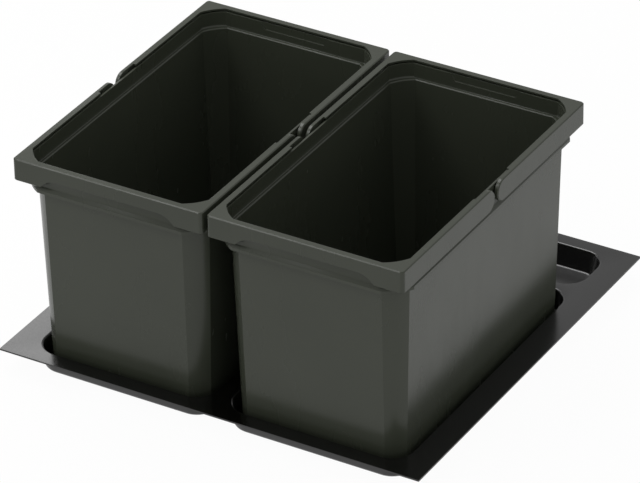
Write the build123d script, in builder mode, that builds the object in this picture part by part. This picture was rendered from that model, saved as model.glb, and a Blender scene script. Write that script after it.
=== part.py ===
"""Drawer insert: a thin formed tray that holds two tapered bins, each with a pair of bail handles.

Millimetres, +Z up. The origin is on the floor under the middle of the tray, +X is to the right
and +Y to the back of the drawer. The front handle and the rear handle of a bin meet at the middle
of its long sides and together make its rim.
"""
import os
from math import cos, radians, sqrt, tan

from build123d import *

# Tray: one sheet, formed down into a pocket for each bin and a long one behind them
sheet = 1.8
side_margin = 21.5
front_margin = 10.4
rear_margin = 89.6
pocket_depth = 23.2
pocket_play = 6.6
pocket_corner_radius = 23.4
pocket_floor_chamfer = 2.0
pocket_mouth_radius = 1.2
pocket_draft = 5.0
rear_pocket_depth = 69.0
rear_pocket_web = 12.7

# Bins: outline of the rim, its height over the tray, and the wall
rim_width = 220.5
rim_length = 372.0
rim_height = 225.4
bin_gap = 5.0
bin_wall = 2.2
bin_draft = 1.6
foot_chamfer = 2.9
cavity_chamfer = 1.8

# Bin section: cut corners, as measured along each side, and the levels below the rim's top
rim_cut = 19.7
rib_cut = 23.3
body_cut = 20.2
corner_middle_share = 0.43
wall_to_cut_share = 2 - sqrt(2)
lip_drop = 3.5
lip_inset = 6.2
lip_wall = 2.2
ledge_drop = 19.9
ledge_chamfer = 0.9
flare_drop = 18.4
rib_drop = 30.2
rib_height = 3.4
rib_inset = 2.9
body_inset = 10.0

# Finger recess in the lip's inner face, over each short side
notch_width = 82.0
notch_floor_width = 70.0
notch_depth = 8.4
notch_recess = 1.2

# Handles: a flat flange with a skirt round its outside
skirt_height = 24.8
skirt_wall = 2.2
skirt_corner_radius = 4.0
rim_edge_chamfer = 1.0
flange = 2.0
flange_width = 7.2
arm_flange_width = 4.2
arm_step = 18.1

# Arch in the short side's skirt, where the fingers go under it
arch_foot = 32.0
arch_rise = 10.7
arch_run = 20.0

# Hinges: pins moulded on the bin, in blind bores in the handle's arms
arm_gap = 6.0
pin_radius = 4.0
pin_clearance = 0.05
pin_end_clearance = 0.3
bore_skin = 1.2

overrun = 1.0

# Levels, from the floor up
cavity_floor = sheet + bin_wall
tray_top = sheet + pocket_depth
rim_top = tray_top + rim_height
lip_top = rim_top - lip_drop
ledge_level = rim_top - ledge_drop
flare_top = rim_top - flare_drop
flare_bottom = ledge_level - bin_wall
rib_top = rim_top - rib_drop
rib_bottom = rib_top - rib_height
skirt_bottom = rim_top - skirt_height
flange_bottom = rim_top - flange
pivot_level = rim_top - skirt_height / 2

# Insets of the bin's faces from the rim's outline
draft_slope = tan(radians(bin_draft))
tray_level_inset = body_inset + (rib_bottom - tray_top) * draft_slope
flare_inset = body_inset - (flare_bottom - rib_bottom) * draft_slope
ledge_inset = body_inset + bin_wall - (ledge_level - rib_bottom) * draft_slope
lip_inner_cut = rim_cut - lip_wall * wall_to_cut_share
cavity_cut = body_cut - bin_wall * wall_to_cut_share

# Outline of the tray, and places on it
tray_width = 2 * rim_width + bin_gap + 2 * side_margin
tray_depth = front_margin + rim_length + rear_margin
bin_pitch = rim_width + bin_gap
bin_centre_y = front_margin + rim_length / 2 - tray_depth / 2
pivot_offset = (arm_gap + skirt_height) / 2
pocket_width = rim_width - 2 * (tray_level_inset - pocket_play)
pocket_length = rim_length - 2 * (tray_level_inset - pocket_play)
rear_pocket_width = bin_pitch + pocket_width
rear_pocket_y = bin_centre_y + (pocket_length + rear_pocket_depth) / 2 + rear_pocket_web


def bin_section(inset, cut):
    """Horizontal section of a bin: a rectangle whose corners are cut off by shallow arcs."""
    x = rim_width / 2 - inset
    y = rim_length / 2 - inset
    middle = cut * corner_middle_share
    with BuildSketch() as section:
        with BuildLine():
            Line((x, cut - y), (x, y - cut))
            ThreePointArc((x, y - cut), (x - middle, y - middle), (x - cut, y))
            Line((x - cut, y), (cut - x, y))
            ThreePointArc((cut - x, y), (middle - x, y - middle), (-x, y - cut))
            Line((-x, y - cut), (-x, cut - y))
            ThreePointArc((-x, cut - y), (middle - x, middle - y), (cut - x, -y))
            Line((cut - x, -y), (x - cut, -y))
            ThreePointArc((x - cut, -y), (x - middle, middle - y), (x, cut - y))
        make_face()
    return section.sketch


def level(x, z):
    """Horizontal plane at height z, centred on the bin at x."""
    return Plane(origin=(x, bin_centre_y, z))


def side(x):
    """Plane that faces +X at x, with +Y to its right and heights upward."""
    return Plane(origin=(x, bin_centre_y, 0), x_dir=(0, 1, 0), z_dir=(1, 0, 0))


def front(x):
    """Plane that faces the front through the middle of the bin at x, with +X to its right."""
    return Plane(origin=(x, bin_centre_y, 0), x_dir=(1, 0, 0), z_dir=(0, -1, 0))


def build_bin(x):
    """One bin: tapered body, rib and lip round its mouth, and four hinge pins."""
    # The body and its hollow taper upward here, and are turned over where they join the bin
    with BuildPart() as body:
        with BuildSketch(level(x, flare_bottom)):
            add(bin_section(flare_inset, body_cut))
        extrude(amount=flare_bottom - sheet, taper=bin_draft)
        chamfer(body.faces().sort_by(Axis.Z)[-1].edges(), foot_chamfer)
    with BuildPart() as cavity:
        with BuildSketch(level(x, ledge_level)):
            add(bin_section(ledge_inset, cavity_cut))
        extrude(amount=ledge_level - cavity_floor, taper=bin_draft)
        chamfer(cavity.faces().sort_by(Axis.Z)[-1].edges(), cavity_chamfer)
    with BuildPart() as bin_part:
        mirror(body.part, about=level(x, flare_bottom))
        with BuildSketch(level(x, flare_bottom)):
            add(bin_section(flare_inset, body_cut))
        with BuildSketch(level(x, flare_top)):
            add(bin_section(lip_inset, rim_cut))
        loft(ruled=True)
        with BuildSketch(level(x, flare_top)):
            add(bin_section(lip_inset, rim_cut))
        extrude(amount=lip_top - flare_top)
        with BuildSketch(level(x, rib_bottom)):
            add(bin_section(rib_inset, rib_cut))
        extrude(amount=rib_height)
        with BuildSketch(level(x, ledge_level)):
            add(bin_section(lip_inset + lip_wall, lip_inner_cut))
        extrude(amount=lip_top - ledge_level, mode=Mode.SUBTRACT)
        mirror(cavity.part, about=level(x, ledge_level), mode=Mode.SUBTRACT)
        ledge_face = bin_part.faces().filter_by(Axis.Z).group_by(Axis.Z)[-2].face()
        chamfer(ledge_face.inner_wires().edges(), ledge_chamfer)
        notch_floor = lip_top - notch_depth
        notch_reach = rim_length / 2 - lip_inset - lip_wall + notch_recess
        with BuildSketch(front(x)):
            with BuildLine():
                Polyline((-notch_floor_width / 2, notch_floor), (notch_floor_width / 2, notch_floor),
                         (notch_width / 2, lip_top), (notch_width / 2, lip_top + overrun),
                         (-notch_width / 2, lip_top + overrun), (-notch_width / 2, lip_top), close=True)
            make_face()
        extrude(amount=notch_reach, both=True, mode=Mode.SUBTRACT)
        pin_start = rim_width / 2 - lip_inset - lip_wall / 2
        pin_end = rim_width / 2 - bore_skin - pin_end_clearance
        for hand in (-1, 1):
            with BuildSketch(side(x + hand * pin_start)):
                with Locations((-pivot_offset, pivot_level), (pivot_offset, pivot_level)):
                    Circle(pin_radius)
            extrude(amount=hand * (pin_end - pin_start))
    return bin_part.part


def build_front_handle(x):
    """The front handle of the bin at x: half the rim, ending in two round arm ends."""
    arm_radius = skirt_height / 2
    with BuildPart() as handle:
        with BuildSketch(level(x, skirt_bottom)):
            RectangleRounded(rim_width, rim_length, skirt_corner_radius)
        extrude(amount=skirt_height)
        with BuildSketch(side(x)):
            with BuildLine():
                Polyline((-pivot_offset, rim_top), (-rim_length, rim_top), (-rim_length, skirt_bottom),
                         (-pivot_offset, skirt_bottom))
                ThreePointArc((-pivot_offset, skirt_bottom), (arm_radius - pivot_offset, pivot_level),
                              (-pivot_offset, rim_top))
            make_face()
        extrude(amount=rim_width, both=True, mode=Mode.INTERSECT)
        arm_ends = handle.edges().filter_by(GeomType.CIRCLE).filter_by(lambda e: e.radius > arm_radius / 2)
        rim_edges = handle.faces().sort_by(Axis.Z)[-1].edges().sort_by(Axis.Y)[:-1]
        chamfer(arm_ends + rim_edges, rim_edge_chamfer)
        with BuildSketch(level(x, skirt_bottom - overrun)):
            RectangleRounded(rim_width - 2 * skirt_wall, rim_length - 2 * skirt_wall,
                             skirt_corner_radius - skirt_wall)
        extrude(amount=skirt_height - flange + overrun, mode=Mode.SUBTRACT)
        with BuildSketch(level(x, flange_bottom)):
            add(bin_section(flange_width, rim_cut))
            with Locations((0, rim_length / 2 - pivot_offset - arm_step)):
                Rectangle(rim_width - 2 * arm_flange_width, rim_length)
        extrude(amount=flange + overrun, mode=Mode.SUBTRACT)
        for hand in (-1, 1):
            pad_outer = rim_width / 2 - rim_edge_chamfer
            with BuildSketch(side(x + hand * pad_outer)):
                with Locations((-pivot_offset, pivot_level)):
                    Circle(arm_radius)
            extrude(amount=-hand * (arm_flange_width - rim_edge_chamfer))
            with BuildSketch(side(x + hand * (rim_width / 2 - bore_skin))):
                with Locations((-pivot_offset, pivot_level)):
                    Circle(pin_radius + pin_clearance)
            extrude(amount=-hand * (arm_flange_width - bore_skin), mode=Mode.SUBTRACT)
        arch_top = skirt_bottom + arch_rise
        arch_half = rim_width / 2 - arch_foot
        with BuildSketch(front(x)):
            with BuildLine():
                Line((arch_run - arch_half, arch_top), (arch_half - arch_run, arch_top))
                TangentArc((arch_half - arch_run, arch_top), (arch_half, skirt_bottom), tangent=(1, 0))
                Polyline((arch_half, skirt_bottom), (arch_half, skirt_bottom - overrun),
                         (-arch_half, skirt_bottom - overrun), (-arch_half, skirt_bottom))
                TangentArc((arch_run - arch_half, arch_top), (-arch_half, skirt_bottom), tangent=(-1, 0))
            make_face()
        extrude(amount=rim_length, mode=Mode.SUBTRACT)
    return handle.part


with BuildPart() as tray:
    with BuildSketch(Plane.XY.offset(pocket_depth)):
        Rectangle(tray_width, tray_depth)
    extrude(amount=sheet)
    pockets = (
        (-bin_pitch / 2, bin_centre_y, pocket_width, pocket_length),
        (bin_pitch / 2, bin_centre_y, pocket_width, pocket_length),
        (0, rear_pocket_y, rear_pocket_width, rear_pocket_depth),
    )
    draft = radians(pocket_draft)
    shell = sheet / cos(draft) - sheet * tan(draft)
    for pocket_x, pocket_y, width, length in pockets:
        with BuildSketch(Plane(origin=(pocket_x, pocket_y, pocket_depth))):
            RectangleRounded(width + 2 * shell, length + 2 * shell, pocket_corner_radius + shell)
        extrude(amount=-pocket_depth, taper=pocket_draft)
    outer_chamfer = pocket_floor_chamfer + sheet * wall_to_cut_share
    chamfer(tray.faces().sort_by(Axis.Z)[0:3].edges(), outer_chamfer)
    for pocket_x, pocket_y, width, length in pockets:
        with BuildSketch(Plane(origin=(pocket_x, pocket_y, tray_top))):
            RectangleRounded(width, length, pocket_corner_radius)
        extrude(amount=-pocket_depth, taper=pocket_draft, mode=Mode.SUBTRACT)
    chamfer(tray.faces().filter_by(Axis.Z).group_by(Axis.Z)[1].edges(), pocket_floor_chamfer)
    fillet(tray.faces().sort_by(Axis.Z)[-1].inner_wires().edges(), pocket_mouth_radius)

os.makedirs("parts", exist_ok=True)
tray.part.label = "tray"
export_step(tray.part, "parts/tray.step")

for bin_name, bin_x in (("left", -bin_pitch / 2), ("right", bin_pitch / 2)):
    with BuildPart() as waste_bin:
        add(build_bin(bin_x))
    waste_bin.part.label = f"{bin_name}_bin"
    export_step(waste_bin.part, f"parts/{bin_name}_bin.step")

    with BuildPart() as front_handle:
        add(build_front_handle(bin_x))
    front_handle.part.label = f"{bin_name}_front_handle"
    export_step(front_handle.part, f"parts/{bin_name}_front_handle.step")

    with BuildPart() as rear_handle:
        mirror(front_handle.part, about=front(bin_x))
    rear_handle.part.label = f"{bin_name}_rear_handle"
    export_step(rear_handle.part, f"parts/{bin_name}_rear_handle.step")
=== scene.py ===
"""Drawer insert with bins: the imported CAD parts, dressed with bands round the bins and a formed tray, their
materials, a soft studio light and the camera."""
from math import atan2, cos, hypot, pi, radians, sin, tan

import bmesh
import bpy
from mathutils import Matrix, Vector


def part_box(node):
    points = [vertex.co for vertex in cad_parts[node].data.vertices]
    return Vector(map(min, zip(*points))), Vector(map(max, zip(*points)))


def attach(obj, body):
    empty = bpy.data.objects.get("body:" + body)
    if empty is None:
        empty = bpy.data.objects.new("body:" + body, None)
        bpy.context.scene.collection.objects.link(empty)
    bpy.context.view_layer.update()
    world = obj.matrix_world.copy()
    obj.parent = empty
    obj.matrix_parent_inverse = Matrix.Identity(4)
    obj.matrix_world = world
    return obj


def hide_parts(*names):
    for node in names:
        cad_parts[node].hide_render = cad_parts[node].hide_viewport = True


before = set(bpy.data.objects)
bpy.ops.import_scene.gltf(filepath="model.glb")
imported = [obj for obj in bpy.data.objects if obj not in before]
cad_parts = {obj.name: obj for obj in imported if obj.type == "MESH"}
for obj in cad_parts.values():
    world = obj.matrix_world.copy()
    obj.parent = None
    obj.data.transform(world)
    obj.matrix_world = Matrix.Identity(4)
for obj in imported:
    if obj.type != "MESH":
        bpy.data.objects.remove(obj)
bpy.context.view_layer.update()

# Camera, in metres and unit vectors of the part's frame, with its sensor and lens in millimetres
CAMERA_PLACE = (2.188081, -3.658941, 2.719724)
CAMERA_RIGHT = (0.862806, 0.505277, -0.016145)
CAMERA_UP = (-0.252870, 0.459012, 0.851684)
CAMERA_FORWARD = (-0.437747, 0.730755, -0.523808)
SENSOR_WIDTH = 36.0
LENS = 275.436
CAMERA_REACH = 60.0

# Colours, linear
BIN_COLOUR = (0.0446, 0.0500, 0.0362, 1.0)
BIN_COLOUR_DARK = (0.0400, 0.0452, 0.0324, 1.0)
TRAY_COLOUR = (0.0024, 0.0024, 0.0018, 1.0)
TRAY_COLOUR_DARK = (0.0010, 0.0010, 0.0008, 1.0)
FLOOR_COLOUR = (0.80, 0.80, 0.80, 1.0)
WHITE = (1.0, 1.0, 1.0, 1.0)

# Sheen: reflection level, then roughness at the glossiest spots and at the dullest
BIN_REFLECTION = 0.35
BIN_ROUGHNESS = (0.23, 0.29)
TRAY_REFLECTION = 0.8
TRAY_ROUGHNESS = (0.19, 0.26)

# Noises: scale, detail, and stretch along the axes
EVEN = (1.0, 1.0, 1.0)
BIN_DRIFT = (9.0, 3.0, EVEN)
BIN_GLOSS = (26.0, 4.0, (1.0, 1.0, 0.35))
BIN_DRAW_LINES = (420.0, 2.0, (1.0, 1.0, 0.04))
BIN_GRAIN = (1500.0, 2.0, EVEN)
TRAY_SPECKS = (520.0, 3.0, EVEN)
TRAY_GLOSS = (320.0, 3.0, EVEN)
TRAY_WAVES = (30.0, 2.0, EVEN)
TRAY_GRAIN = (900.0, 2.0, EVEN)

# Factors that the noises mostly stay within
NOISE_RANGE = (0.3, 0.7)

# Bumps: distance in metres and strength
BIN_DRAW_LINE_BUMP = (0.00002, 0.04)
BIN_GRAIN_BUMP = (0.00004, 0.30)
TRAY_WAVE_BUMP = (0.00008, 0.12)
TRAY_GRAIN_BUMP = (0.00003, 0.25)

# Radius by which the shading rounds the bins' edges, and its samples
BIN_EDGE = 0.0004
EDGE_SAMPLES = 6

# Band round each bin under its handles: insets from the rim's outline, corner cuts and drops below the
# rim's top, from its top edge down its face, out over the bead, and back up inside the bin's wall
BAND_PROFILE = (
    (0.0063, 0.0197, 0.0179),
    (0.0062, 0.0197, 0.0266),
    (0.0059, 0.0198, 0.0272),
    (0.0033, 0.0229, 0.0297),
    (0.0029, 0.0233, 0.0304),
    (0.0032, 0.0233, 0.0320),
    (0.0106, 0.0202, 0.0320),
    (0.0106, 0.0202, 0.0226),
    (0.0074, 0.0197, 0.0181),
)
CORNER_MIDDLE_SHARE = 0.43
CORNER_STEPS = 10
SMOOTH_UNDER = radians(35.0)

# Formed tray: its sheet, and its pockets measured at their mouths
SHEET = 0.0018
POCKET_INSET = 0.00876
POCKET_CORNER = 0.0234
POCKET_DRAFT = radians(5.0)
REAR_POCKET_LENGTH = 0.0690
REAR_POCKET_WEB = 0.0127
REAR_POCKET_DRAFT = radians(15.0)
MOUTH_ROUND = 0.0030
FLOOR_ROUND = 0.0032
ROUND_STEPS = 6

# Radiance of the white room: as lighting, as seen by the camera, and as mirrored by the plastic
ROOM_LIGHT = 0.62
ROOM_SEEN = 1.0
ROOM_MIRRORED = 0.62

# Floor: its width, its glow as mirrored by the plastic, and the share of that glow against its own colour,
# to the camera and to the plastic
FLOOR_WIDTH = 14.0
FLOOR_MIRRORED = 0.85
FLOOR_SEEN_SHARE = 0.965
FLOOR_MIRRORED_SHARE = 0.90

# Soft boxes: place, target, width, height and radiance
LAMPS = {
    # Small, close beside the left bin's rear half, just over its rim
    "left_box": ((-0.46, 0.135, 0.285), (-0.24, -0.23, 0.02), 0.20, 0.20, 2.1),
    # High over the left front
    "key_box": ((-1.15, -1.45, 2.05), (0.0, -0.05, 0.10), 0.8, 0.8, 4.6),
    # High at the left rear, facing straight down
    "ceiling_box": ((-1.0, 0.35, 2.1), (-1.0, 0.35, 0.0), 1.2, 1.3, 4.2),
}


def new_material(name):
    """An empty node material, with its tree and its output node."""
    material = bpy.data.materials.new(name)
    material.use_nodes = True
    tree = material.node_tree
    tree.nodes.clear()
    output = tree.nodes.new("ShaderNodeOutputMaterial")
    return material, tree, output


def noise(tree, vector, scale, detail, stretch):
    """Factor of a noise texture over the object's own place, stretched along its axes."""
    mapping = tree.nodes.new("ShaderNodeMapping")
    mapping.inputs["Scale"].default_value = stretch
    texture = tree.nodes.new("ShaderNodeTexNoise")
    texture.inputs["Scale"].default_value = scale
    texture.inputs["Detail"].default_value = detail
    tree.links.new(vector, mapping.inputs["Vector"])
    tree.links.new(mapping.outputs["Vector"], texture.inputs["Vector"])
    return texture.outputs["Fac"]


def to_range(tree, value, low, high):
    """A noise factor spread from low to high."""
    spread = tree.nodes.new("ShaderNodeMapRange")
    spread.inputs["From Min"].default_value = NOISE_RANGE[0]
    spread.inputs["From Max"].default_value = NOISE_RANGE[1]
    spread.inputs["To Min"].default_value = low
    spread.inputs["To Max"].default_value = high
    tree.links.new(value, spread.inputs["Value"])
    return spread.outputs["Result"]


def blend_colours(tree, factor, first, second):
    """Colour between first and second."""
    mix = tree.nodes.new("ShaderNodeMix")
    mix.data_type = "RGBA"
    mix.inputs["A"].default_value = first
    mix.inputs["B"].default_value = second
    tree.links.new(factor, mix.inputs["Factor"])
    return mix.outputs["Result"]


def bump(tree, height, distance, strength, normal=None):
    """Bump from a height factor, on top of another bump where one is given."""
    node = tree.nodes.new("ShaderNodeBump")
    node.inputs["Strength"].default_value = strength
    node.inputs["Distance"].default_value = distance
    tree.links.new(height, node.inputs["Height"])
    if normal is not None:
        tree.links.new(normal, node.inputs["Normal"])
    return node.outputs["Normal"]


def soft_edges(tree, radius):
    """Normal that is rounded over the edges within radius."""
    node = tree.nodes.new("ShaderNodeBevel")
    node.samples = EDGE_SAMPLES
    node.inputs["Radius"].default_value = radius
    return node.outputs["Normal"]


def plastic(name, colours, spots, reflection, gloss, roughness):
    """A plastic with spotted colour and gloss, and its tree, shader and place, still without a bump."""
    material, tree, output = new_material(name)
    shader = tree.nodes.new("ShaderNodeBsdfPrincipled")
    shader.inputs["Specular IOR Level"].default_value = reflection
    place = tree.nodes.new("ShaderNodeTexCoord").outputs["Object"]
    factor = to_range(tree, noise(tree, place, *spots), 0.0, 1.0)
    tree.links.new(blend_colours(tree, factor, *colours), shader.inputs["Base Color"])
    tree.links.new(to_range(tree, noise(tree, place, *gloss), *roughness), shader.inputs["Roughness"])
    tree.links.new(shader.outputs["BSDF"], output.inputs["Surface"])
    return material, tree, shader, place


def moulded_plastic():
    """Bins and handles: satin moulding with a fine grain, faint draw lines and slow drifts of gloss."""
    material, tree, shader, place = plastic(
        "bin_plastic", (BIN_COLOUR_DARK, BIN_COLOUR), BIN_DRIFT, BIN_REFLECTION, BIN_GLOSS, BIN_ROUGHNESS)
    edges = soft_edges(tree, BIN_EDGE)
    drawn = bump(tree, noise(tree, place, *BIN_DRAW_LINES), *BIN_DRAW_LINE_BUMP, edges)
    grained = bump(tree, noise(tree, place, *BIN_GRAIN), *BIN_GRAIN_BUMP, drawn)
    tree.links.new(grained, shader.inputs["Normal"])
    return material


def formed_sheet():
    """Tray: near-black formed sheet, with faint waves and a fine grain that scatters its sheen."""
    material, tree, shader, place = plastic(
        "tray_sheet", (TRAY_COLOUR_DARK, TRAY_COLOUR), TRAY_SPECKS, TRAY_REFLECTION, TRAY_GLOSS,
        TRAY_ROUGHNESS)
    waved = bump(tree, noise(tree, place, *TRAY_WAVES), *TRAY_WAVE_BUMP)
    grained = bump(tree, noise(tree, place, *TRAY_GRAIN), *TRAY_GRAIN_BUMP, waved)
    tree.links.new(grained, shader.inputs["Normal"])
    return material


def floor_material():
    """Pale floor: nearly white to the camera, with the object's shadow left in it, and bright where the
    plastic mirrors it."""
    material, tree, output = new_material("floor")
    nodes, links = tree.nodes, tree.links
    diffuse = nodes.new("ShaderNodeBsdfDiffuse")
    diffuse.inputs["Color"].default_value = FLOOR_COLOUR
    path = nodes.new("ShaderNodeLightPath")
    surface = diffuse.outputs["BSDF"]
    for ray, share, strength in (("Is Camera Ray", FLOOR_SEEN_SHARE, ROOM_SEEN),
                                 ("Is Glossy Ray", FLOOR_MIRRORED_SHARE, FLOOR_MIRRORED)):
        glow = nodes.new("ShaderNodeEmission")
        glow.inputs["Color"].default_value = WHITE
        glow.inputs["Strength"].default_value = strength
        part = nodes.new("ShaderNodeMath")
        part.operation = "MULTIPLY"
        part.inputs[1].default_value = share
        mix = nodes.new("ShaderNodeMixShader")
        links.new(path.outputs[ray], part.inputs[0])
        links.new(part.outputs["Value"], mix.inputs["Fac"])
        links.new(surface, mix.inputs[1])
        links.new(glow.outputs["Emission"], mix.inputs[2])
        surface = mix.outputs["Shader"]
    links.new(surface, output.inputs["Surface"])
    return material


def room_world():
    """World: an even white room, with one strength as lighting, one for the camera and one as mirrored."""
    world = bpy.data.worlds.new("room")
    world.use_nodes = True
    nodes, links = world.node_tree.nodes, world.node_tree.links
    nodes.clear()
    path = nodes.new("ShaderNodeLightPath")
    surface = None
    for ray, strength in ((None, ROOM_LIGHT),
                          ("Is Camera Ray", ROOM_SEEN),
                          ("Is Glossy Ray", ROOM_MIRRORED)):
        sky = nodes.new("ShaderNodeBackground")
        sky.inputs["Color"].default_value = WHITE
        sky.inputs["Strength"].default_value = strength
        if surface is None:
            surface = sky.outputs["Background"]
            continue
        mix = nodes.new("ShaderNodeMixShader")
        links.new(path.outputs[ray], mix.inputs["Fac"])
        links.new(surface, mix.inputs[1])
        links.new(sky.outputs["Background"], mix.inputs[2])
        surface = mix.outputs["Shader"]
    output = nodes.new("ShaderNodeOutputWorld")
    links.new(surface, output.inputs["Surface"])
    return world


def rim_corners(hand):
    """Low and high corners of the box round a bin's closed handles."""
    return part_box(f"{hand}_front_handle")[0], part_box(f"{hand}_rear_handle")[1]


def smooth_object(name, shape):
    """Object of a finished bmesh, shaded smooth but for its sharp edges."""
    bmesh.ops.recalc_face_normals(shape, faces=shape.faces)
    for face in shape.faces:
        face.smooth = True
    mesh = bpy.data.meshes.new(name)
    shape.to_mesh(mesh)
    shape.free()
    mesh.set_sharp_from_angle(angle=SMOOTH_UNDER)
    thing = bpy.data.objects.new(name, mesh)
    bpy.context.collection.objects.link(thing)
    return thing


def corner_arc(cut):
    """Points of a cut corner's shallow arc, measured inward from the sharp corner."""
    middle = cut * CORNER_MIDDLE_SHARE
    centre = (cut ** 2 - 2 * middle ** 2) / (2 * cut - 4 * middle)
    radius = hypot(centre, centre - cut)
    start = atan2(cut - centre, -centre)
    end = atan2(-centre, cut - centre)
    turns = [start + (end - start) * step / CORNER_STEPS for step in range(CORNER_STEPS + 1)]
    return [(centre + radius * cos(turn), centre + radius * sin(turn)) for turn in turns]


def bin_outline(low, high, inset, cut, height):
    """Outline of a bin's section at height, counter-clockwise from its right rear corner."""
    right, left = high[0] - inset, low[0] + inset
    rear, front = high[1] - inset, low[1] + inset
    arc = corner_arc(cut)
    points = [(right - p, rear - q) for p, q in arc]
    points += [(left + p, rear - q) for p, q in reversed(arc)]
    points += [(left + p, front + q) for p, q in arc]
    points += [(right - p, front + q) for p, q in reversed(arc)]
    return [(x, y, height) for x, y in points]


def bin_band(hand):
    """The upright band round a bin under its handles, with the bead's sloped top at its foot."""
    low, high = rim_corners(hand)
    shape = bmesh.new()
    rings = []
    for inset, cut, drop in BAND_PROFILE:
        outline = bin_outline(low, high, inset, cut, high[2] - drop)
        rings.append([shape.verts.new(point) for point in outline])
    for upper, lower in zip(rings, rings[1:] + rings[:1]):
        join_rings(shape, upper, lower)
    return smooth_object(f"{hand}_bin_band", shape)


def pocket_profile(draft, depth):
    """Half section of a pocket: inward offset, drop below the tray's top, and the surface's normal, from the
    start of its rounded mouth to the end of its rounded floor edge."""
    sweep = pi / 2 - draft
    lead = tan(sweep / 2)
    floor_offset = depth * tan(draft)
    profile = []
    for step in range(ROUND_STEPS + 1):
        turn = sweep * step / ROUND_STEPS
        offset = MOUTH_ROUND * (sin(turn) - lead)
        profile.append((offset, MOUTH_ROUND * (1 - cos(turn)), sin(turn), cos(turn)))
    for step in range(ROUND_STEPS, -1, -1):
        turn = sweep * step / ROUND_STEPS
        offset = floor_offset + FLOOR_ROUND * (lead - sin(turn))
        profile.append((offset, depth - FLOOR_ROUND * (1 - cos(turn)), sin(turn), cos(turn)))
    return profile


def pocket_ring(shape, pocket, offset, height):
    """Vertices of a pocket's rounded outline at an inward offset from its mouth."""
    left, right, front, rear = pocket
    round_radius = POCKET_CORNER - offset
    ring = []
    corners = ((right, rear, 0), (left, rear, 1), (left, front, 2), (right, front, 3))
    for corner_x, corner_y, quarter in corners:
        centre_x = min(max(corner_x, left + POCKET_CORNER), right - POCKET_CORNER)
        centre_y = min(max(corner_y, front + POCKET_CORNER), rear - POCKET_CORNER)
        for step in range(CORNER_STEPS + 1):
            turn = (quarter + step / CORNER_STEPS) * pi / 2
            ring.append(shape.verts.new((centre_x + round_radius * cos(turn),
                                         centre_y + round_radius * sin(turn), height)))
    return ring


def join_rings(shape, upper, lower):
    """Faces between two rings of as many vertices."""
    for index in range(len(upper)):
        following = (index + 1) % len(upper)
        shape.faces.new((upper[index], lower[index], lower[following], upper[following]))


def ring_edges(shape, ring):
    """Closed line of edges along a ring's vertices."""
    edges = []
    for index in range(len(ring)):
        pair = (ring[index - 1], ring[index])
        edges.append(shape.edges.get(pair) or shape.edges.new(pair))
    return edges


def formed_tray():
    """The tray's sheet, formed down into three pockets with rounded mouths and floor edges."""
    low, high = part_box("tray")
    depth = high[2] - low[2] - SHEET
    rims = []
    for hand in ("left", "right"):
        front, rear = rim_corners(hand)
        rims.append((front[0] + POCKET_INSET, rear[0] - POCKET_INSET,
                     front[1] + POCKET_INSET, rear[1] - POCKET_INSET))
    rear_start = rims[0][3] + REAR_POCKET_WEB
    rear_pocket = (rims[0][0], rims[1][1], rear_start, rear_start + REAR_POCKET_LENGTH)
    pockets = ((rims[0], POCKET_DRAFT), (rims[1], POCKET_DRAFT), (rear_pocket, REAR_POCKET_DRAFT))
    shape = bmesh.new()
    outlines = []
    for below in (0.0, SHEET):
        height = high[2] - below
        outline = [shape.verts.new((x, y, height)) for x, y in
                   ((high[0], high[1]), (low[0], high[1]), (low[0], low[1]), (high[0], low[1]))]
        outlines.append(outline)
        border = ring_edges(shape, outline)
        for pocket, draft in pockets:
            rings = []
            for offset, drop, across, up in pocket_profile(draft, depth):
                level = high[2] - drop - below * up
                rings.append(pocket_ring(shape, pocket, offset - below * across, level))
            for upper, lower in zip(rings, rings[1:]):
                join_rings(shape, upper, lower)
            shape.faces.new(rings[-1])
            border += ring_edges(shape, rings[0])
        bmesh.ops.triangle_fill(shape, use_beauty=True, use_dissolve=False, edges=border)
    join_rings(shape, outlines[0], outlines[1])
    return smooth_object("formed_tray", shape)


def area_light(name, place, target, width, height, radiance):
    """Rectangular soft light at place that faces target, unseen by the camera itself."""
    data = bpy.data.lights.new(name, "AREA")
    data.shape = "RECTANGLE"
    data.size = width
    data.size_y = height
    data.energy = radiance * pi * width * height
    lamp = bpy.data.objects.new(name, data)
    bpy.context.collection.objects.link(lamp)
    aim = Vector(target) - Vector(place)
    lamp.rotation_euler = aim.to_track_quat("-Z", "Y").to_euler()
    lamp.location = place
    lamp.visible_camera = False


bin_plastic = moulded_plastic()
tray_sheet = formed_sheet()
for name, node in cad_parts.items():
    node.data.materials.clear()
    node.data.materials.append(tray_sheet if name == "tray" else bin_plastic)

for hand in ("left", "right"):
    band = bin_band(hand)
    band.data.materials.append(bin_plastic)
    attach(band, f"{hand}_bin")
tray = formed_tray()
tray.data.materials.append(tray_sheet)
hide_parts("tray")
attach(tray, "tray")

# Floor, room and lamps
bpy.ops.mesh.primitive_plane_add(size=FLOOR_WIDTH, location=(0.0, 0.0, 0.0))
floor = bpy.context.object
floor.name = "floor"
floor.data.materials.append(floor_material())
bpy.context.scene.world = room_world()

for name, settings in LAMPS.items():
    area_light(name, *settings)

# Camera
data = bpy.data.cameras.new("camera")
data.sensor_fit = "HORIZONTAL"
data.sensor_width = SENSOR_WIDTH
data.lens = LENS
data.clip_end = CAMERA_REACH
camera = bpy.data.objects.new("camera", data)
bpy.context.collection.objects.link(camera)
columns = Matrix((CAMERA_RIGHT, CAMERA_UP, -Vector(CAMERA_FORWARD))).transposed()
camera.matrix_world = Matrix.Translation(CAMERA_PLACE) @ columns.to_4x4()
bpy.context.scene.camera = camera
bpy.context.scene.view_settings.view_transform = "Standard"
